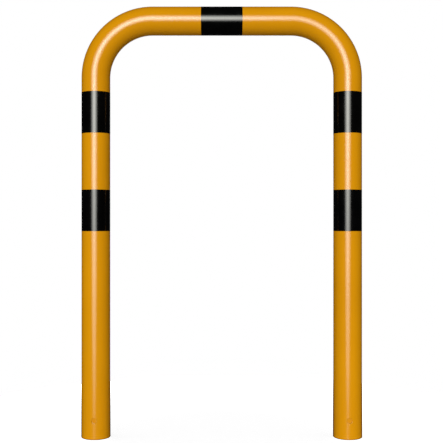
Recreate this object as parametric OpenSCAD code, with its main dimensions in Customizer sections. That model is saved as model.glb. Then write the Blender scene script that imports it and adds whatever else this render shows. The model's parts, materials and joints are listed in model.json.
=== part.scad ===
// Hoop guard for traffic areas: one bent steel tube with black warning bands, cast into the ground
// by its two legs. Millimetres. The origin lies between the two feet, level with them. Z is up, X
// runs across the hoop, and the front of the hoop faces -Y.

/* [Tube] */
// Outside diameter of the steel tube
tube_od = 76.1; // [60.3:0.1:101.6]
// Wall thickness of the steel tube
tube_wall = 2.9; // [2:0.1:6.3]
// Chamfer that takes the burr off both edges of each sawn foot
foot_chamfer = 0.5; // [0.2:0.1:0.8]

/* [Hoop] */
// Width over both legs
hoop_width = 750; // [600:10:2000]
// Height from the feet to the top of the crossbar
hoop_height = 1150; // [850:10:1600]
// Bend radius at the tube's centreline
bend_radius = 152; // [100:1:220]

/* [Warning bands] */
// Width of each band, along the tube
band_width = 110; // [50:5:150]
// Straight tube left bare between the end of a bend and the upper band
bend_to_band = 40; // [5:5:100]
// Straight tube left bare between the two bands on a leg
band_spacing = 150; // [50:5:200]
// Thickness of the band's film
film_thickness = 0.07; // [0.05:0.01:0.3]
// Thickness of the adhesive between the tube and the film
film_adhesive = 0.08; // [0.08:0.01:0.2]
// Length by which the film's end laps over its start, at the back
film_lap = 15; // [5:1:40]

/* [Anchor holes] */
// Diameter of the hole drilled front to back through each leg
anchor_hole_diameter = 14; // [8:0.5:20]
// Height of the hole's axis above the foot
anchor_hole_height = 50; // [25:1:150]

/* [Hidden] */
// Number of segments in every full circle
$fn = 96;
// How far a cutting shape runs past the face it cuts
overrun = 1;

// Outside and inside radius of the tube
tube_or = tube_od / 2;
tube_ir = tube_or - tube_wall;
// Centreline of the right leg, and of the crossbar
leg_x = hoop_width / 2 - tube_or;
crossbar_z = hoop_height - tube_or;
// Centre of the right bend, where the straight lengths end
bend_x = leg_x - bend_radius;
bend_z = crossbar_z - bend_radius;
// Lower edges of the two bands on a leg
upper_band_z = bend_z - bend_to_band - band_width;
lower_band_z = upper_band_z - band_spacing - band_width;
// Inside and outside of the film, where it lies in one layer
film_ir = tube_or + film_adhesive;
film_or = film_ir + film_thickness;
// Angle that the lap takes up round the tube
lap_angle = film_lap / film_or * 180 / PI;
// How far the lapped end is sunk into the turn below it, which makes both one piece of film
lap_root = film_thickness / 2;

// A solid rod up the right leg, from below the foot, and round the bend to the end of the crossbar
module leg_rod(r, below_foot) {
    translate([leg_x, 0, -below_foot])
        cylinder(r = r, h = bend_z + below_foot);
    translate([bend_x, 0, bend_z])
        rotate([90, 0, 0])
            rotate_extrude(angle = 90)
                translate([bend_radius, 0])
                    circle(r = r);
}

// A solid rod along the whole route of the hoop
module hoop_rod(r, below_foot = 0) {
    leg_rod(r, below_foot);
    mirror([1, 0, 0]) leg_rod(r, below_foot);
    translate([-bend_x, 0, crossbar_z])
        rotate([0, 90, 0])
            cylinder(r = r, h = 2 * bend_x);
}

// What the deburring tool takes off a foot at x: the outer edge and the edge of the bore
module foot_deburring(x) {
    translate([x, 0, 0])
        rotate_extrude() {
            polygon([
                [tube_or - foot_chamfer - overrun, -overrun],
                [tube_or + overrun, -overrun],
                [tube_or + overrun, foot_chamfer + overrun],
            ]);
            polygon([
                [tube_ir - overrun, -overrun],
                [tube_ir + foot_chamfer + overrun, -overrun],
                [tube_ir - overrun, foot_chamfer + overrun],
            ]);
        }
}

// The drill through both walls of a leg at x
module anchor_drill(x) {
    translate([x, tube_or + overrun, anchor_hole_height])
        rotate([90, 0, 0])
            cylinder(d = anchor_hole_diameter, h = tube_od + 2 * overrun);
}

// The tube of the hoop, bent from one length and open at both feet
module hoop_tube() {
    color("#d4900a")
        difference() {
            hoop_rod(tube_or);
            hoop_rod(tube_ir, below_foot = overrun);
            for (x = [-leg_x, leg_x]) {
                foot_deburring(x);
                anchor_drill(x);
            }
        }
}

// One turn of film round a tube that stands on the Z axis, with the lap of its ends at the back
module film_band() {
    color("#0a0a0a") {
        difference() {
            cylinder(r = film_or, h = band_width);
            translate([0, 0, -overrun])
                cylinder(r = film_ir, h = band_width + 2 * overrun);
        }
        rotate([0, 0, 90 - lap_angle / 2])
            rotate_extrude(angle = lap_angle)
                translate([film_or - lap_root, 0])
                    square([film_thickness + lap_root, band_width]);
    }
}

module crossbar_band() {
    translate([-band_width / 2, 0, crossbar_z])
        rotate([0, 90, 0])
            film_band();
}

module left_upper_band() { translate([-leg_x, 0, upper_band_z]) film_band(); }
module left_lower_band() { translate([-leg_x, 0, lower_band_z]) film_band(); }
module right_upper_band() { translate([leg_x, 0, upper_band_z]) film_band(); }
module right_lower_band() { translate([leg_x, 0, lower_band_z]) film_band(); }

hoop_tube();
crossbar_band();
left_upper_band();
left_lower_band();
right_upper_band();
right_lower_band();
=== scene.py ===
# %% [markdown]
# # Dressing a hoop guard
# The object is an inverted U of steel tube that guards a corner, a door or a cabinet against
# vehicles. It is bent cold from one length, powder-coated orange-yellow and wrapped with five bands
# of black film. Its legs are cast into the ground, and a hole near each foot takes an anchor rod.
#
# Its CAD model already has every size right, so this lesson doesn't measure anything again. It
# loads that model as a frame, takes its sizes from there, and builds a finer skin over it, with the
# finishes of the real thing.

# %% Load the frame
import json
import math
from collections import namedtuple

import bmesh
import bpy
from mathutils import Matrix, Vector


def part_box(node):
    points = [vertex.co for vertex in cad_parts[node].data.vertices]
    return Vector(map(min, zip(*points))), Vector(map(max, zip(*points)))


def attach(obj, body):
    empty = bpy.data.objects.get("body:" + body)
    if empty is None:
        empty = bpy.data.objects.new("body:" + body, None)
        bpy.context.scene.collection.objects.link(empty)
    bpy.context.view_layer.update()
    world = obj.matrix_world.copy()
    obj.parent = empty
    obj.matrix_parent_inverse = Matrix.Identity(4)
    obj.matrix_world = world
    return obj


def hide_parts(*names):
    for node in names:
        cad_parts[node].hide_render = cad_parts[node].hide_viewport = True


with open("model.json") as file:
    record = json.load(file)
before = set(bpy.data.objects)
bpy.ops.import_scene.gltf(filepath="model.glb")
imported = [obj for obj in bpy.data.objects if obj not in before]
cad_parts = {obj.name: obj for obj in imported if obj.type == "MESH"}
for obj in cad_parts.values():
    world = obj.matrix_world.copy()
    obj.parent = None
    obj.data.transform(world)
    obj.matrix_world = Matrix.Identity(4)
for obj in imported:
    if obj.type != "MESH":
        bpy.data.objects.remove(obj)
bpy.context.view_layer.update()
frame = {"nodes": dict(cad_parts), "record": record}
print("CAD nodes:", ", ".join(sorted(frame["nodes"])))

# %% [markdown]
# ## The sizes
# Every size could be typed in here again, but then a change to the CAD model would leave this skin
# behind. So the sizes come from the part's record. It says where a stranger can fasten the part,
# and its mounts hold the sizes that matter most: each leg is a pin with a radius and a place, and
# each anchor hole is a bore. Only the bend radius and the wall aren't in a mount, so they are
# written as the tube bender and the tube merchant would give them.

# %% Read the sizes
MM = 0.001
BEND_RADIUS = 152 * MM
TUBE_WALL = 2.9 * MM

mounts = {mount["name"]: mount for mount in frame["record"]["mounts"]}
leg = mounts["right_leg"]
anchor_hole = mounts["right_anchor_hole"]

tube_radius = leg["dims"]["r_mm"] * MM
bore_radius = tube_radius - TUBE_WALL
leg_x = leg["pos_m"][0]
hole_radius = anchor_hole["dims"]["r_mm"] * MM
hole_height = anchor_hole["pos_m"][2]

hoop_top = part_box("hoop_tube")[1].z
crossbar_z = hoop_top - tube_radius
bend_x = leg_x - BEND_RADIUS
bend_z = crossbar_z - BEND_RADIUS
print(f"tube {2 * tube_radius / MM:.1f} mm, legs at x = {leg_x / MM:.2f} mm either side")
print(f"the bends start at z = {bend_z / MM:.2f} mm and end at x = {bend_x / MM:.2f} mm")

# %% [markdown]
# ## Rows near a foot
# A tube is a circle carried along a line. In Blender that is often a curve with a bevel depth,
# which is quick but leaves no say over where the mesh's rows and columns lie. This tube needs that
# say, because the anchor holes will be woven into its grid. So the rows are worked out one by one.
# Each hole gets a window, which is a patch of square cells round it, and the rows between the
# window and the foot are spread evenly.

# %% Set the heights near a foot
COLUMNS = 96
HALF_WINDOW = 6
FOOT_ROUNDING = 0.7 * MM
TALLEST_ROW_IN_CELLS = 3

cell = math.tau * tube_radius / COLUMNS
window_heights = [hole_height + step * cell for step in range(-HALF_WINDOW, HALF_WINDOW + 1)]


def even_steps(start, end, longest):
    """Values from just after start up to end, in even steps no longer than longest."""
    count = math.ceil((end - start) / longest)
    return [start + (end - start) * step / count for step in range(1, count + 1)]


foot_heights = [FOOT_ROUNDING, FOOT_ROUNDING + cell]
foot_heights += even_steps(foot_heights[-1], window_heights[0], TALLEST_ROW_IN_CELLS * cell)
first_window_row = len(foot_heights) - 1
print(f"cells {cell / MM:.2f} mm wide, and a window that starts at row {first_window_row}")

# %% [markdown]
# ## The route of the tube
# The route is a list of stations, each with the middle of the tube and the direction that points
# away from the inside of the hoop. Blender can spread points along a curve by itself, but then none
# of them is sure to lie where a bend starts or a window ends. So the left half is written out, and
# the right half is its mirror image. The bore gets fewer stations, because nobody sees its bends.

# %% Lay out the stations
Station = namedtuple("Station", "middle out")

UP = Vector((0, 0, 1))
OUTER_SPACING = 30 * MM
OUTER_BEND_STEPS = 48
BORE_SPACING = 90 * MM
BORE_BEND_STEPS = 24


def route(spacing, bend_steps):
    """Stations from the left foot up, across and down to the right foot, at most spacing apart."""
    heights = foot_heights + window_heights[1:] + even_steps(window_heights[-1], bend_z, spacing)
    left = [Station(Vector((-leg_x, 0, height)), Vector((-1, 0, 0))) for height in heights]
    for step in range(1, bend_steps + 1):
        turn = math.pi / 2 * step / bend_steps
        out = Vector((-math.cos(turn), 0, math.sin(turn)))
        left.append(Station(Vector((-bend_x, 0, bend_z)) + BEND_RADIUS * out, out))
    left += [Station(Vector((x, 0, crossbar_z)), UP) for x in even_steps(-bend_x, 0, spacing)]
    flip = Vector((-1, 1, 1))
    right = [Station(flip * station.middle, flip * station.out) for station in reversed(left[:-1])]
    return left + right


outer_route = route(OUTER_SPACING, OUTER_BEND_STEPS)
bore_route = route(BORE_SPACING, BORE_BEND_STEPS)
print(len(outer_route), "stations outside,", len(bore_route), "in the bore")

# %% [markdown]
# ## A closed skin of rings
# The tube has an outside, a bore, and two sawn feet that join them, so its skin is a closed loop of
# rings: up the outside, round the right foot, back along the bore and round the left foot. One
# number tells them apart. The lean is the angle by which the surface has turned from facing
# outwards: 0 outside, 90 degrees on the sawn face, 180 in the bore, and the values between them
# round the edges, as deburring and a thick coat of paint do. A Bevel modifier could round those
# edges too, but the lean also gives each point's exact normal, which keeps the highlights clean.

# %% Make the rings
Ring = namedtuple("Ring", "middle out radius lean")

LEFT, RIGHT = -1, 1
ROUNDING_STEPS = 4


def foot_rings(side):
    """Rings over the sawn foot of the left or right leg, from the outside to the bore."""
    over_foot = []
    for edge_radius, first_lean, inset in ((tube_radius, 0, -1), (bore_radius, 90, 1)):
        for step in range(ROUNDING_STEPS + 1):
            lean = math.radians(first_lean + 90 * step / ROUNDING_STEPS)
            radius = edge_radius + FOOT_ROUNDING * (inset + math.cos(lean))
            middle = Vector((side * leg_x, 0, FOOT_ROUNDING * (1 - math.sin(lean))))
            over_foot.append(Ring(middle, Vector((side, 0, 0)), radius, lean))
    return over_foot


outside = [Ring(station.middle, station.out, tube_radius, 0) for station in outer_route]
bore = [Ring(station.middle, station.out, bore_radius, math.pi) for station in reversed(bore_route)]
right_foot = foot_rings(RIGHT)[1:-1]
left_foot = foot_rings(LEFT)[-2:0:-1]
rings = outside + right_foot + bore + left_foot
bore_start = len(outside) + len(right_foot)
bore_end = bore_start + len(bore)
print(len(rings), "rings of", COLUMNS, "points")

# %% [markdown]
# ## A mesh that remembers
# A mesh can be made in one go, from a list of points and a list of faces that name their corners by
# number. Blender's bmesh makes points and faces one at a time instead, and hands them back to be
# used again, which suits a skin that is worked out by rule. The small class below keeps two more
# things with each point: its normal, and whether it lies on a rounded edge. The edge mark is stored
# on the mesh as an attribute named rim, so that the paint can be thinner there. A face is turned by
# its points' normals, so the order in which its corners are given doesn't matter. Each corner also
# gets a spot on a flat map, named OFBake, that the finishes can be baked on to.

# %% Start the mesh
RIM = "rim"
ON_RIM, OFF_RIM = 1.0, 0.0
EXPORT_MAP = "OFBake"


class TubeMesh:
    """A mesh under construction, with each point's normal and edge mark."""

    def __init__(self):
        self.mesh = bmesh.new()
        self.rim = self.mesh.verts.layers.float.new(RIM)
        self.map = self.mesh.loops.layers.uv.new(EXPORT_MAP)
        self.normals = {}

    def point(self, place, normal, rim_mark):
        """A new point, and the normal that it will be shaded by."""
        vert = self.mesh.verts.new(place)
        vert[self.rim] = rim_mark
        self.normals[vert] = normal.normalized()
        return vert

    def face(self, corners, spots, finish):
        """A new smooth face that looks the way its corners' normals do."""
        face = self.mesh.faces.new(corners)
        face.smooth = True
        face.material_index = finish
        face.normal_update()
        if face.normal.dot(sum((self.normals[vert] for vert in corners), Vector())) < 0:
            face.normal_flip()
        spot_of = dict(zip(corners, spots))
        for loop in face.loops:
            loop[self.map].uv = spot_of[loop.vert]


tube = TubeMesh()
print("a mesh for the tube, with the attribute", RIM)

# %% [markdown]
# ## Points round the tube
# Each ring becomes a row of points. Blender's own mesh circle would have to be turned into place on
# every ring. Here each point is worked out from two directions instead, to the front of the hoop
# and away from its inside. That puts column 0 at the very front of the tube, where an anchor hole
# has its middle, and the column half way round at the very back.

# %% Set the points
FRONT = Vector((0, -1, 0))


def ring_points(ring):
    """One ring's points, from the front of the tube round by its outer side."""
    rim_mark = ON_RIM if 0 < ring.lean < math.pi else OFF_RIM
    row = []
    for column in range(COLUMNS):
        turn = math.tau * column / COLUMNS
        radial = math.cos(turn) * FRONT + math.sin(turn) * ring.out
        normal = math.cos(ring.lean) * radial - math.sin(ring.lean) * UP
        row.append(tube.point(ring.middle + ring.radius * radial, normal, rim_mark))
    return row


grid = [ring_points(ring) for ring in rings]
print(len(tube.normals), "points in the grid")

# %% [markdown]
# ## The anchor holes
# Each leg is drilled from front to back. A Boolean modifier would cut such a hole in a second, but
# it leaves long slivers round the edge, and those spoil the shading of a glossy curved surface.
# Here the grid leaves out a square window of cells on each wall, and rings of points lead from the
# square to a true circle, over a rounded edge, through the wall and out again into the window of
# the bore. The burr that a drill leaves is filed off outside, but inside no file can reach it, so
# the edge is rounder outside.

# %% Shape an anchor hole
HoleStep = namedtuple("HoleStep", "distance skin depth turn")

HOLE_EDGE_OUTSIDE = 0.7 * MM
HOLE_EDGE_INSIDE = 0.3 * MM
FIRST_SPOKE_DEGREES = -45

side_steps = range(-HALF_WINDOW, HALF_WINDOW)
window_border = [(HALF_WINDOW, step) for step in side_steps]
window_border += [(-step, HALF_WINDOW) for step in side_steps]
window_border += [(-across, -up) for across, up in window_border]
spokes = len(window_border)
spoke_angles = [
    math.radians(FIRST_SPOKE_DEGREES + 360 * spoke / spokes) for spoke in range(spokes)
]


def edge_steps(skin, edge, inwards):
    """Steps over a rounded edge, from the skin of this radius to the hole's wall."""
    steps = []
    for step in range(ROUNDING_STEPS + 1):
        turn = math.pi / 2 * step / ROUNDING_STEPS
        distance = hole_radius + edge * (1 - math.sin(turn))
        depth = inwards * edge * (1 - math.cos(turn))
        steps.append(HoleStep(distance, skin, depth, turn))
    return steps


outer_edge = edge_steps(tube_radius, HOLE_EDGE_OUTSIDE, inwards=1)
inner_edge = edge_steps(bore_radius, HOLE_EDGE_INSIDE, inwards=-1)
hole_steps = outer_edge + inner_edge[::-1]
print(spokes, "points round each hole,", len(hole_steps), "steps through each wall")

# %% [markdown]
# ## Points in a hole
# A hole through a curved wall isn't flat: its edge rises and falls with the tube. Flat rings of
# points could be pressed on to the wall with a Shrinkwrap modifier, but that would flatten the
# rounded edge as well. So each point starts on the skin, at its own distance from the hole's axis,
# and goes down from there.

# %% Set the points in a hole
Wall = namedtuple("Wall", "middle across out")


def facing(skin):
    """Which way a skin of this radius looks: 1 for outwards, -1 for into the bore."""
    return 1 if skin == tube_radius else -1


def hole_points(wall, step):
    """One ring of points in a hole's wall or on its edges."""
    row = []
    for angle in spoke_angles:
        spoke = math.cos(angle) * wall.across + math.sin(angle) * UP
        offset = step.distance * math.cos(angle)
        rise = math.sqrt(step.skin**2 - offset**2)
        skin_normal = facing(step.skin) * (offset * wall.across + rise * wall.out) / step.skin
        normal = math.cos(step.turn) * skin_normal - math.sin(step.turn) * spoke
        place = wall.middle + step.distance * spoke + (rise - step.depth) * wall.out
        row.append(tube.point(place, normal, ON_RIM))
    return row


print("points in each hole:", spokes * len(hole_steps))

# %% [markdown]
# ## From round to square
# Between a hole's round edge and its square window the skin has to go on without a dent. A straight
# face from one to the other would cut through the curve of the tube. So a few rows of points lie
# between them, each slid back on to the skin, and the surface stays a true cylinder right up to the
# edge. The rows crowd towards the hole, where the light changes fastest.

# %% Lead out to a window
SPREAD_ROWS = 4
SPREAD_CROWDING = 1.3


def spread_points(wall, hole_row, window_row, skin):
    """Rows from a hole's round edge to its square window, all on the skin of this radius."""
    rows = [hole_row]
    for step in range(1, SPREAD_ROWS):
        share = (step / SPREAD_ROWS) ** SPREAD_CROWDING
        row = []
        for near, far in zip(hole_row, window_row):
            spot = near.co.lerp(far.co, share) - wall.middle
            radial = Vector((spot.x, spot.y, 0)).normalized()
            place = wall.middle + spot.z * UP + skin * radial
            row.append(tube.point(place, facing(skin) * radial, OFF_RIM))
        rows.append(row)
    return rows + [window_row]


print("points between each hole and its windows:", 2 * spokes * (SPREAD_ROWS - 1))

# %% [markdown]
# ## The windows
# A window is the same patch of rows on each leg. One could search the grid for the cells near each
# hole, but the rows were laid out so that counting is enough. The outside's rows start at the left
# foot and end at the right one, and the bore's rows come back the other way, so on the far leg they
# are counted from the end.

# %% Count the windows
window_rows = range(first_window_row, first_window_row + 2 * HALF_WINDOW + 1)
outer_windows = {
    LEFT: list(window_rows),
    RIGHT: [len(outside) - 1 - row for row in window_rows],
}
bore_windows = {
    LEFT: [bore_end - 1 - row for row in window_rows],
    RIGHT: [bore_start + row for row in window_rows],
}


def window_points(rows, centre_column):
    """The grid's points round a window, given its rows from the lowest up."""
    return [
        grid[rows[up + HALF_WINDOW]][(centre_column + across) % COLUMNS]
        for across, up in window_border
    ]


print("windows in the outside, by side and row:", outer_windows)

# %% [markdown]
# ## A map of the skin
# Smart UV Project would make the map by itself, but it cuts the tube along its front, where a cut
# can show as a hairline. So the skin is laid out by rule. It is slit along the back and cut across
# into a few strips, which lie side by side, and the four holes share one more strip. A margin keeps
# the strips apart and off the map's edges.

# %% Lay out the map
Patch = namedtuple("Patch", "strip start end")

FRONT_COLUMN, BACK_COLUMN = 0, COLUMNS // 2
SKIN_STRIPS = 5
SIDE_MARGIN, END_MARGIN = 0.03, 0.06

fronts = [row[FRONT_COLUMN].co for row in grid]
reached = [0]
for here, ahead in zip(fronts, fronts[1:] + fronts[:1]):
    reached.append(reached[-1] + (ahead - here).length)
strip_length = reached[-1] / SKIN_STRIPS


def skin_patch(number):
    """Where the faces from this row of the grid to the next lie on the map."""
    start, end = (length / strip_length for length in reached[number : number + 2])
    strip = int((start + end) / 2)
    return Patch(strip, start - strip, end - strip)


def map_spot(strip, across, along):
    """A spot on the map, given as shares of a strip's width and length."""
    inset = SIDE_MARGIN + (1 - 2 * SIDE_MARGIN) * across
    return (strip + inset) / (SKIN_STRIPS + 1), END_MARGIN + (1 - 2 * END_MARGIN) * along


print(f"{SKIN_STRIPS} strips of {strip_length / MM:.0f} mm on the map, and one for the holes")

# %% [markdown]
# ## Drilling
# On the bench a drill goes through both walls of a leg in one stroke. One long tunnel could be put
# through the mesh as well, but there is nothing to skin between the walls. So each wall gets a hole
# of its own, from its window in the outside to its window in the bore. The paint reaches through
# the hole to its inner edge, and there the bore's own finish takes over. Each face only stores a
# number for its finish. The materials themselves come later.

# %% Drill the legs
PAINT, ZINC = 0, 1
HOLES = [(side, column) for side in (LEFT, RIGHT) for column in (FRONT_COLUMN, BACK_COLUMN)]


def join_rows(first, second, finish, patch, left_out=()):
    """Joins two closed rows of points with faces, apart from the columns that are left out."""
    count = len(first)
    for column in range(count):
        if column in left_out:
            continue
        beside = (column + 1) % count
        corners = (first[column], first[beside], second[beside], second[column])
        from_slit = (column + count // 2) % count
        left, right = from_slit / count, (from_slit + 1) / count
        around = ((left, patch.start), (right, patch.start), (right, patch.end), (left, patch.end))
        tube.face(corners, [map_spot(patch.strip, *spot) for spot in around], finish)


def hole_patch(hole, number):
    """Where one of a hole's rows of faces lies on the map, in the strip that the holes share."""
    rooms = len(hole_steps) + 2 * (SPREAD_ROWS + 1)
    start, end = ((hole + room / rooms) / len(HOLES) for room in (number, number + 1))
    return Patch(SKIN_STRIPS, start, end)


def drill(side, out, across, centre_column):
    """The hole through one wall of a leg, from its window outside to the one in the bore."""
    wall = Wall(Vector((side * leg_x, 0, hole_height)), across, out)
    outer_window = window_points(outer_windows[side], centre_column)
    bore_window = window_points(bore_windows[side], centre_column)
    hole = [hole_points(wall, step) for step in hole_steps]
    outer = spread_points(wall, hole[0], outer_window, tube_radius)
    inner = spread_points(wall, hole[-1], bore_window, bore_radius)
    place, room = HOLES.index((side, centre_column)), 0
    for rows, finish in ((outer, PAINT), (hole, PAINT), (inner, ZINC)):
        for number, (first, second) in enumerate(zip(rows, rows[1:])):
            join_rows(first, second, finish, hole_patch(place, room + number))
        room += len(rows)


for side in (LEFT, RIGHT):
    leg_out = Vector((side, 0, 0))
    drill(side, FRONT, leg_out, FRONT_COLUMN)
    drill(side, -FRONT, -leg_out, BACK_COLUMN)
print(len(tube.mesh.faces), "faces in and round the holes")

# %% [markdown]
# ## The skin of the tube
# What is left is to join each row to the next. Someone who models by hand would take Bridge Edge
# Loops for that, then delete the windows and pick out the bore for its second finish. A loop over
# the rows does all three at once, right round the closed skin, because it knows each row by number.

# %% Skin the tube
drilled = set()
for rows in [*outer_windows.values(), *bore_windows.values()]:
    drilled.update(min(pair) for pair in zip(rows, rows[1:]))
window_columns = set()
for centre_column in (FRONT_COLUMN, BACK_COLUMN):
    window_columns.update((centre_column + step) % COLUMNS for step in side_steps)

for number, row in enumerate(grid):
    finish = ZINC if bore_start <= number < bore_end - 1 else PAINT
    left_out = window_columns if number in drilled else ()
    join_rows(row, grid[(number + 1) % len(grid)], finish, skin_patch(number), left_out)
print(len(tube.mesh.faces), "faces in the whole skin")

# %% [markdown]
# ## The hoop in its place
# Blender can work out a mesh's shading from its faces, but the rings and the holes came with exact
# normals, and those make cleaner highlights. So the mesh gets them as custom normals. The finished
# piece then takes the place of the CAD model's tube: it rides on the same body and hides that node.

# %% Place the hoop
def finished_mesh(name):
    """The tube's mesh, shaded by its points' own normals."""
    mesh = bpy.data.meshes.new(name)
    tube.mesh.verts.index_update()
    normals = [tube.normals[vert] for vert in tube.mesh.verts]
    tube.mesh.to_mesh(mesh)
    tube.mesh.free()
    mesh.normals_split_custom_set_from_vertices(normals)
    return mesh


def add_piece(name, mesh, node):
    """A piece of the hoop that takes the place of a CAD node, which it hides."""
    piece = bpy.data.objects.new(name, mesh)
    bpy.context.scene.collection.objects.link(piece)
    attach(piece, "root")
    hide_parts(node)
    return piece


hoop = add_piece("hoop", finished_mesh("hoop"), "hoop_tube")
print("hoop:", len(hoop.data.vertices), "points,", len(hoop.data.polygons), "faces")

# %% [markdown]
# ## A strip of film
# Each warning band is a strip of adhesive film that goes once round the tube. Its end laps over its
# start at the back, where a fitter hides the joint. A plain ring would miss that, so the strip is
# swept along a spiral: it keeps to the tube for a full turn, climbs its own start over a few
# millimetres, and lies on top of it for the length of the lap. The strip's cross-section has
# softened edges, as a cut film has, so that they catch a little light.

# %% Cut a strip of film
FILM_HEIGHT = 0.15 * MM
FILM_LAYER = 0.07 * MM
FILM_EDGE = 0.06 * MM
FILM_LAP = 15 * MM
FILM_RAMP = 4 * MM

lap_angle = FILM_LAP / tube_radius
ramp_angle = FILM_RAMP / tube_radius
film_steps = round(COLUMNS * (1 + lap_angle / math.tau))


def film_section(width):
    """The strip's cross-section, as places along the tube and heights over the paint."""
    soft = FILM_EDGE * (1 - math.cos(math.radians(45)))
    half = [
        (0, 0),
        (0, FILM_HEIGHT - FILM_EDGE),
        (soft, FILM_HEIGHT - soft),
        (FILM_EDGE, FILM_HEIGHT),
    ]
    return half + [(width - along, height) for along, height in reversed(half)]


def climb(past_start):
    """How far the strip has eased off the tube, by the angle gone since it met its own start."""
    share = min(max(1 + past_start / ramp_angle, 0), 1)
    return FILM_LAYER * share * share * (3 - 2 * share)


lap_height = FILM_HEIGHT + FILM_LAYER
print(f"film {FILM_HEIGHT / MM:.2f} mm over the paint, {lap_height / MM:.2f} mm at the lap")

# %% [markdown]
# ## Where the bands sit
# Two bands go round each leg and one round the crossbar. Their places could be typed in again, but
# then they would have to be kept in step with the CAD model by hand. So they are read from its
# boxes. A band is wider than the tube is thick, so the longest side of its box runs along the tube.

# %% Find the bands
Stretch = namedtuple("Stretch", "start along out width")


def band_stretch(node):
    """The stretch of tube under a band: where it starts, which way it runs, and how wide it is."""
    low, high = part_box(node)
    middle = (low + high) / 2
    size = high - low
    if size.x > size.z:
        on_axis, along, out = Vector((middle.x, 0, crossbar_z)), Vector((1, 0, 0)), UP
    else:
        side = math.copysign(1, middle.x)
        on_axis, along, out = Vector((side * leg_x, 0, middle.z)), UP, Vector((side, 0, 0))
    width = size.dot(along)
    return Stretch(on_axis - along * width / 2, along, out, width)


band_nodes = [node for node in sorted(frame["nodes"]) if node.endswith("_band")]
for node in band_nodes:
    print(f"{node}: {band_stretch(node).width / MM:.1f} mm wide")

# %% [markdown]
# ## A row of the strip
# The strip is swept along its spiral as a line of cross-sections, each a row of points. A curve
# with a bevel object could sweep it too, but the section would tip with the curve where the strip
# climbs. Here every row stands square to the tube. It knows how far round it has gone, and takes
# its lift from that.

# %% Set a row of the strip
def film_row(strip, step, stretch):
    """The points of the strip's cross-section, this many steps after its start."""
    gone = (math.tau + lap_angle) * step / film_steps
    turn = math.pi - lap_angle / 2 + gone
    radial = math.cos(turn) * FRONT + math.sin(turn) * stretch.out
    lift = tube_radius + climb(gone - math.tau)
    return [
        strip.verts.new(stretch.start + place * stretch.along + (lift + height) * radial)
        for place, height in film_section(stretch.width)
    ]


print(film_steps + 1, "rows in each strip")

# %% [markdown]
# ## The warning bands
# Now the rows are joined and the ends closed, for each of the five stretches. The broad face of the
# film borders on very thin faces, and plain smooth shading would let those tint it. Marking every
# edge as sharp would cure that, but it would also show each step round the tube. So a Weighted
# Normal modifier lets the large faces decide, and only the film's cut corners stay sharp.

# %% Wrap the bands
SHARP_EDGE = math.radians(40)


def wrap_band(node):
    """A strip of film round the tube, in the place that the CAD node of this name keeps for it."""
    strip = bmesh.new()
    stretch = band_stretch(node)
    rows = [film_row(strip, step, stretch) for step in range(film_steps + 1)]
    for first, second in zip(rows, rows[1:]):
        for index in range(len(first)):
            strip.faces.new((first[index - 1], first[index], second[index], second[index - 1]))
    strip.faces.new(rows[0])
    strip.faces.new(rows[-1])
    bmesh.ops.recalc_face_normals(strip, faces=strip.faces)
    for face in strip.faces:
        face.smooth = True
    mesh = bpy.data.meshes.new(node + "_film")
    strip.to_mesh(mesh)
    strip.free()
    mesh.set_sharp_from_angle(angle=SHARP_EDGE)
    band = add_piece(mesh.name, mesh, node)
    band.modifiers.new("even shading", "WEIGHTED_NORMAL").keep_sharp = True
    return band


bands = [wrap_band(node) for node in band_nodes]
print("bands:", ", ".join(band.name for band in bands))

# %% [markdown]
# ## Helpers for nodes
# Every finish below is a small graph of shader nodes. One can draw such a graph by hand in the
# Shader Editor, but a script has to make each node and each wire, and that hides the idea behind
# the bookkeeping. So three helpers do it: the first gives an input a value or a wire, the second
# fills several inputs by name, and the third makes a node and fills it.

# %% Make the helpers for nodes
def fill(tree, socket, value):
    """Gives an input a value, or a wire where the value is another node's output."""
    if isinstance(value, bpy.types.NodeSocket):
        tree.links.new(value, socket)
    else:
        socket.default_value = value


def feed(tree, node, **inputs):
    """Fills a node's inputs by name, with an underscore for a space."""
    for label, value in inputs.items():
        fill(tree, node.inputs[label.replace("_", " ")], value)


def add(tree, kind, options=None, **inputs):
    """A shader node of this kind, with its options set and its inputs filled."""
    node = tree.nodes.new("ShaderNode" + kind)
    for option, value in (options or {}).items():
        setattr(node, option, value)
    feed(tree, node, **inputs)
    return node


print("helpers for nodes: fill, feed, add")

# %% [markdown]
# ## Helpers for sums
# A finish does sums all the time: a pattern is stretched to a range of roughness, or one mask is
# laid over another. Math and Map Range nodes do that. A helper for each gives back the output that
# carries the result, so that the lines below read like sums.

# %% Make the helpers for sums
def compute(tree, operation, *values):
    """The result of a Math node."""
    node = add(tree, "Math", {"operation": operation})
    for socket, value in zip(node.inputs, values):
        fill(tree, socket, value)
    return node.outputs[0]


def stretched(tree, value, low, high, bottom=0.0, top=1.0):
    """The part of a value from low to high, stretched to run from bottom to top."""
    limits = {"From_Min": low, "From_Max": high, "To_Min": bottom, "To_Max": top}
    return add(tree, "MapRange", Value=value, **limits).outputs["Result"]


print("helpers for sums: compute, stretched")

# %% [markdown]
# ## Helpers for patterns
# Paint and film aren't quite even: they have clouds, specks and relief, of sizes that one can
# measure on the real thing. So a noise takes the size of its spots in metres, where Blender would
# ask for spots per metre. A blend mixes two colours by a pattern, and a bump turns a pattern into
# relief with a height in metres. Bumps can be laid one over the other. Relief as fine as this would
# take millions of faces as a mesh.

# %% Make the helpers for patterns
MIX_SHARE, MIX_FIRST, MIX_SECOND, MIX_COLOUR = 0, 6, 7, 2


def noise(tree, place, spot, detail):
    """A soft random pattern with spots of this size. Detail adds smaller spots within them."""
    return add(tree, "TexNoise", Vector=place, Scale=1 / spot, Detail=detail).outputs["Fac"]


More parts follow.
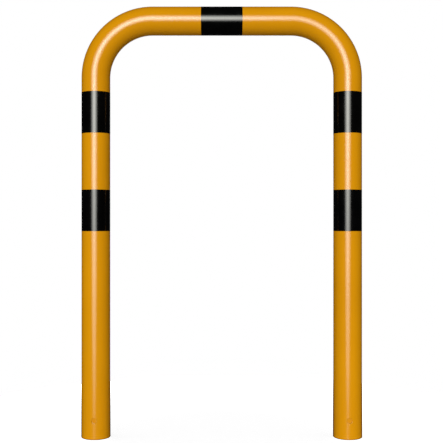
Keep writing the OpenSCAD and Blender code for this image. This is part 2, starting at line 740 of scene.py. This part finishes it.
def blend(tree, share, first, second):
    """A colour that goes from first to second as share goes from 0 to 1."""
    mix = add(tree, "Mix", {"data_type": "RGBA"})
    for number, value in ((MIX_SHARE, share), (MIX_FIRST, first), (MIX_SECOND, second)):
        fill(tree, mix.inputs[number], value)
    return mix.outputs[MIX_COLOUR]


def bump(tree, pattern, height, **below):
    """Relief from a pattern, on top of the relief below it if that is given as Normal."""
    return add(tree, "Bump", Distance=height, Height=pattern, **below).outputs["Normal"]


print("helpers for patterns: noise, blend, bump")

# %% [markdown]
# ## The start of a finish
# A new material comes with a Principled shader, which covers paint, metal and plastic alike. A
# texture also has to know where on the piece it is. The tube's own map could tell it, but a pattern
# would break wherever that map is cut. Object coordinates need no map, are in metres, and run on
# round the bends without a break.

# %% Start a finish
def new_finish(name):
    """An empty finish: its material, its node tree, its shader, and places in metres."""
    material = bpy.data.materials.new(name)
    material.use_nodes = True
    tree = material.node_tree
    place = add(tree, "TexCoord").outputs["Object"]
    return material, tree, tree.nodes["Principled BSDF"], place


print("helper for a whole finish: new_finish")

# %% [markdown]
# ## Yellow powder coat
# Powder is sprayed on dry and melts in an oven into one thick, glossy film. Its colour is even,
# apart from faint clouds where the film is thicker or thinner, and it is never quite flat: it sets
# with a fine waviness called orange peel. On sharp edges the melt draws back, so the coat is thin
# there and the colour turns a little dull, in specks. A single noise for the peel would look like
# hammered metal, so two make it: a broad one for the waves and a fine one for the grain between
# them.

# %% Mix the powder coat
COAT_FULL = (0.70, 0.292, 0.0005, 1)
COAT_THIN = (0.67, 0.276, 0.0005, 1)
COAT_EDGE = (0.40, 0.165, 0.012, 1)
COAT_ROUGHNESS = (0.15, 0.20)
COAT_IOR = 1.55
CLOUD_SIZE = 140 * MM
CLOUD_RANGE = (0.35, 0.65)
SPECK_SIZE = 2.4 * MM
SPECK_RANGE = (0.4, 0.62)
SPECK_SHARE = 0.55
WAVE_SIZE = 3 * MM
WAVE_HEIGHT = 0.006 * MM
GRAIN_SIZE = 0.7 * MM
GRAIN_RANGE = (0.3, 0.7)
GRAIN_HEIGHT = WAVE_HEIGHT / 4


def mix_powder_coat():
    """The finish of the tube's outside, its feet and its holes."""
    material, tree, shader, place = new_finish("yellow_powder_coat_finish")
    cloud = stretched(tree, noise(tree, place, CLOUD_SIZE, detail=3), *CLOUD_RANGE)
    coat = blend(tree, cloud, COAT_FULL, COAT_THIN)
    rim = add(tree, "Attribute", {"attribute_name": RIM}).outputs["Fac"]
    specks = noise(tree, place, SPECK_SIZE, detail=3)
    thin = compute(tree, "MULTIPLY", rim, stretched(tree, specks, *SPECK_RANGE, top=SPECK_SHARE))
    colour = blend(tree, thin, coat, COAT_EDGE)
    grain = noise(tree, place, GRAIN_SIZE, detail=2)
    roughness = stretched(tree, grain, *GRAIN_RANGE, *COAT_ROUGHNESS)
    waves = bump(tree, noise(tree, place, WAVE_SIZE, detail=1), WAVE_HEIGHT)
    peel = bump(tree, grain, GRAIN_HEIGHT, Normal=waves)
    feed(tree, shader, Base_Color=colour, Roughness=roughness, IOR=COAT_IOR, Normal=peel)
    return material


hoop.data.materials.append(mix_powder_coat())
print("outside of the hoop:", hoop.data.materials[PAINT].name)

# %% [markdown]
# ## Zinc in the bore
# The tube is galvanised before it is bent, so its bore shows zinc, with the frost-like crystals
# called spangle. Powder drifts into the open feet and bakes on there: the first hand's width is
# yellow, and then it fades out. So little of it lies there that it sets as a dull dust. Its yellow
# is also painted darker than the coat outside, as painted shade for the inside of the tube, which
# the lamps light through its wall because they cast no shadow. A second object for the powder would
# have no thickness to speak of, so one material does both. A texture of random cells gives each
# crystal its own tone, and the height over the foot, ruffled by a noise, tells zinc from powder.

# %% Coat the bore
# Powder yellow painted darker than COAT_FULL: painted shade for the inside of the tube.
SHADED_DRIFT = (0.57, 0.28, 0.002, 1)
DRIFT_ROUGHNESS = 0.95
DRIFT_FULL = 110 * MM
DRIFT_END = 190 * MM
DRIFT_RUFFLE = 60 * MM
RUFFLE_SIZE = 17 * MM
ZINC_DARK = (0.30, 0.31, 0.32, 1)
ZINC_LIGHT = (0.56, 0.57, 0.58, 1)
ZINC_ROUGHNESS = (0.42, 0.58)
SPANGLE_SIZE = 7 * MM
GRIT_SIZE = 1.1 * MM
GRIT_HEIGHT = 0.03 * MM


def mix_bore_zinc():
    """The finish of the tube's bore."""
    material, tree, shader, place = new_finish("bore_zinc_finish")
    spangle = add(tree, "TexVoronoi", Vector=place, Scale=1 / SPANGLE_SIZE).outputs["Color"]
    tone = add(tree, "SeparateColor", Color=spangle).outputs
    zinc = blend(tree, tone["Red"], ZINC_DARK, ZINC_LIGHT)
    height = add(tree, "SeparateXYZ", Vector=place).outputs["Z"]
    ruffle = noise(tree, place, RUFFLE_SIZE, detail=5)
    ruffled = compute(tree, "MULTIPLY_ADD", ruffle, DRIFT_RUFFLE, height)
    bare = stretched(tree, ruffled, DRIFT_FULL, DRIFT_END)
    # Near the feet the bore takes the drift colour, which carries painted shade for the tube's
    # inside.
    colour = blend(tree, bare, SHADED_DRIFT, zinc)
    zinc_roughness = stretched(tree, tone["Green"], 0.0, 1.0, *ZINC_ROUGHNESS)
    roughness = stretched(tree, bare, 0.0, 1.0, DRIFT_ROUGHNESS, zinc_roughness)
    grit = bump(tree, noise(tree, place, GRIT_SIZE, detail=3), GRIT_HEIGHT)
    feed(tree, shader, Base_Color=colour, Metallic=bare, Roughness=roughness, Normal=grit)
    return material


hoop.data.materials.append(mix_bore_zinc())
print("bore of the hoop:", hoop.data.materials[ZINC].name)

# %% [markdown]
# ## Black film
# The bands are thin vinyl, deep black and about as glossy as the paint. The film follows the peel
# below it, softened, and has a very fine grain of its own from the rollers that made it. Dust
# settles in the grain, which shows as a slight change of gloss more than of colour. Colour and
# gloss could each have a noise, but on the real film one dust changes both. So the same noise
# drives them, and the colour only a little.

# %% Mix the film
FILM_BLACK = (0.0005, 0.0005, 0.0005, 1)
FILM_DUSTY = (0.0012, 0.0012, 0.0012, 1)
FILM_ROUGHNESS = (0.15, 0.19)
FILM_IOR = 1.58
DUST_SIZE = 33 * MM
DUST_COLOUR_RANGE = (0.42, 0.7)
DUST_GLOSS_RANGE = (0.35, 0.7)
SOFT_WAVE_SIZE = 3.8 * MM
SOFT_WAVE_HEIGHT = WAVE_HEIGHT * 0.6
ROLLER_GRAIN_SIZE = 0.4 * MM
ROLLER_GRAIN_HEIGHT = WAVE_HEIGHT / 8


def mix_black_film():
    """The finish of the five bands."""
    material, tree, shader, place = new_finish("black_film_finish")
    dust = noise(tree, place, DUST_SIZE, detail=5)
    colour = blend(tree, stretched(tree, dust, *DUST_COLOUR_RANGE), FILM_BLACK, FILM_DUSTY)
    roughness = stretched(tree, dust, *DUST_GLOSS_RANGE, *FILM_ROUGHNESS)
    waves = bump(tree, noise(tree, place, SOFT_WAVE_SIZE, detail=1), SOFT_WAVE_HEIGHT)
    rollers = noise(tree, place, ROLLER_GRAIN_SIZE, detail=1)
    grain = bump(tree, rollers, ROLLER_GRAIN_HEIGHT, Normal=waves)
    feed(tree, shader, Base_Color=colour, Roughness=roughness, IOR=FILM_IOR, Normal=grain)
    return material


black_film = mix_black_film()
for band in bands:
    band.data.materials.append(black_film)
print("bands:", black_film.name)

# %% [markdown]
# ## The camera
# The photo was taken from straight in front, level with the middle of the hoop and about 2.3 m
# away. One could nudge a camera by eye until its picture looks right, but this one was measured
# from the photo's edges. It is level, which keeps the legs upright in the picture. Its lens is
# worked out from a focal length in pixels, because that is what a measured photo gives.

# %% Set up the camera
PICTURE_WIDTH = 443
FOCAL_PIXELS = 860.5
SENSOR_WIDTH = 36
CAMERA_PLACE = (-0.0007, -2.305, 0.5755)

camera_data = bpy.data.cameras.new("camera")
camera_data.sensor_width = SENSOR_WIDTH
camera_data.lens = SENSOR_WIDTH * FOCAL_PIXELS / PICTURE_WIDTH
camera = bpy.data.objects.new("camera", camera_data)
camera.location = CAMERA_PLACE
camera.rotation_euler = (math.radians(90), 0, 0)
bpy.context.scene.collection.objects.link(camera)
bpy.context.scene.camera = camera
print(f"lens {camera_data.lens:.2f} mm")

# %% [markdown]
# ## The lamps
# The photo shows one narrow highlight down the whole tube, brightest on the crossbar and fading
# towards the feet. So its light comes from the front, close beside the camera and a little above
# it. One sun lamp would give the highlight a hard edge. Four of them, one inside the other, make a
# light that is bright in the middle and fades outwards. Their light is a touch warm, as the grey of
# the highlight on the black film is in the photo. They cast no shadow, because the photo is lit so
# evenly that none shows: the shadow on the floor is left to the world.
#
# A fill from behind lights the side that the photo doesn't show. It gives no gloss, which would
# draw a bright line along both edges of the tube as seen from the front.

# %% Light the hoop
LAMP_COLOUR = (1.0, 1.0, 0.93)
KEY_AZIMUTH = math.radians(-6.2)
KEY_ELEVATION = math.radians(11.3)
KEY_WIDTHS_AND_STRENGTHS = ((12, 0.10), (22, 0.37), (32, 0.75), (47, 1.53))
FILL_AZIMUTH = math.radians(180)
FILL_ELEVATION = math.radians(12)
FILL_WIDTH = 20
FILL_STRENGTH = 2.5


def add_sun(name, azimuth, elevation, width_degrees, strength):
    """A sun without shadow from this direction. Azimuth 0 is in front, positive to the right."""
    lamp = bpy.data.lights.new(name, "SUN")
    lamp.angle = math.radians(width_degrees)
    lamp.energy = strength
    lamp.color = LAMP_COLOUR
    lamp.use_shadow = False
    sun = bpy.data.objects.new(name, lamp)
    towards_sun = Vector((
        math.sin(azimuth) * math.cos(elevation),
        -math.cos(azimuth) * math.cos(elevation),
        math.sin(elevation),
    ))
    sun.rotation_euler = towards_sun.to_track_quat("Z", "Y").to_euler()
    bpy.context.scene.collection.objects.link(sun)
    return sun


for width, strength in KEY_WIDTHS_AND_STRENGTHS:
    add_sun(f"key_{width}", KEY_AZIMUTH, KEY_ELEVATION, width, strength)
back_fill = add_sun("back_fill", FILL_AZIMUTH, FILL_ELEVATION, FILL_WIDTH, FILL_STRENGTH)
back_fill.visible_glossy = False
print(f"key strength in all: {sum(strength for width, strength in KEY_WIDTHS_AND_STRENGTHS):.2f}")

# %% [markdown]
# ## The backdrop
# The hoop stands in front of plain white. A lit white wall would give that, but it would also throw
# its light on the hoop. So the world is the backdrop, and its Light Path node tells what kind of
# ray has arrived. The camera sees white. Gloss sees the same white where it mirrors what the
# picture shows behind the hoop, and a dark studio in all other directions, which keeps the film
# black. To all else the world is a dim and even light, from every side.

# %% Hang the backdrop
WHITE = 1.0
AMBIENT = 0.22
DARK_STUDIO = 0.01
BACKDROP_EDGE = math.cos(math.radians(14.4))
BACKDROP_FULL = math.cos(math.radians(10))


def hang_backdrop():
    """The world: white to the camera, white or dark to gloss, and dim as a light."""
    world = bpy.data.worlds.new("studio")
    bpy.context.scene.world = world
    world.use_nodes = True
    tree = world.node_tree
    path = add(tree, "LightPath").outputs
    mirrored = compute(tree, "MAXIMUM", path["Is Glossy Ray"], path["Is Transmission Ray"])
    direction = add(tree, "TexCoord").outputs["Generated"]
    heading = add(tree, "SeparateXYZ", Vector=direction).outputs["Y"]
    in_mirror = stretched(tree, heading, BACKDROP_EDGE, BACKDROP_FULL, DARK_STUDIO, WHITE)
    unseen = add(tree, "Mix", Factor=mirrored, A=AMBIENT, B=in_mirror).outputs["Result"]
    level = add(tree, "Mix", Factor=path["Is Camera Ray"], A=unseen, B=WHITE).outputs["Result"]
    feed(tree, tree.nodes["Background"], Color=(1, 1, 1, 1), Strength=level)


hang_backdrop()
bpy.context.scene.view_settings.view_transform = "Standard"
print("world level as a light:", AMBIENT)

# %% [markdown]
# ## The floor
# The floor is there for the soft shadow that ties the hoop to the ground. A plain white plane would
# show its own shade of white against the backdrop. A shadow catcher shows the camera nothing but
# the shadow, so the white runs on under the hoop. Its pale grey throws a little light back up at
# the crossbar. It fades out on the way to its edge, which would show as a line otherwise, and gloss
# passes it by: the photo shows no floor in the black bands.

# %% Lay the floor
FLOOR_COLOUR = (0.5, 0.5, 0.5, 1)
FLOOR_RADIUS = 0.9
FLOOR_CORNERS = 128
FADE_START = 0.25
FADE_POWER = 2
FIRST_SHADER, SECOND_SHADER = 1, 2


def mix_floor():
    """Matt pale grey that turns clear towards the edge."""
    material, tree, shader, place = new_finish("floor_finish")
    feed(tree, shader, Base_Color=FLOOR_COLOUR, Roughness=1.0, Specular_IOR_Level=0.0)
    clear = add(tree, "BsdfTransparent")
    distance = add(tree, "VectorMath", {"operation": "LENGTH"}, Vector=place).outputs["Value"]
    outwards = stretched(tree, distance, FADE_START, FLOOR_RADIUS)
    soft_edge = add(tree, "MixShader", Fac=compute(tree, "POWER", outwards, FADE_POWER))
    fill(tree, soft_edge.inputs[FIRST_SHADER], shader.outputs["BSDF"])
    fill(tree, soft_edge.inputs[SECOND_SHADER], clear.outputs["BSDF"])
    feed(tree, tree.nodes["Material Output"], Surface=soft_edge.outputs["Shader"])
    return material


disc = bmesh.new()
bmesh.ops.create_circle(disc, cap_ends=True, radius=FLOOR_RADIUS, segments=FLOOR_CORNERS)
floor = bpy.data.objects.new("floor", bpy.data.meshes.new("floor"))
disc.to_mesh(floor.data)
disc.free()
floor.data.materials.append(mix_floor())
floor.is_shadow_catcher = True
floor.visible_glossy = False
bpy.context.scene.collection.objects.link(floor)
print("floor:", FLOOR_RADIUS, "m in radius")
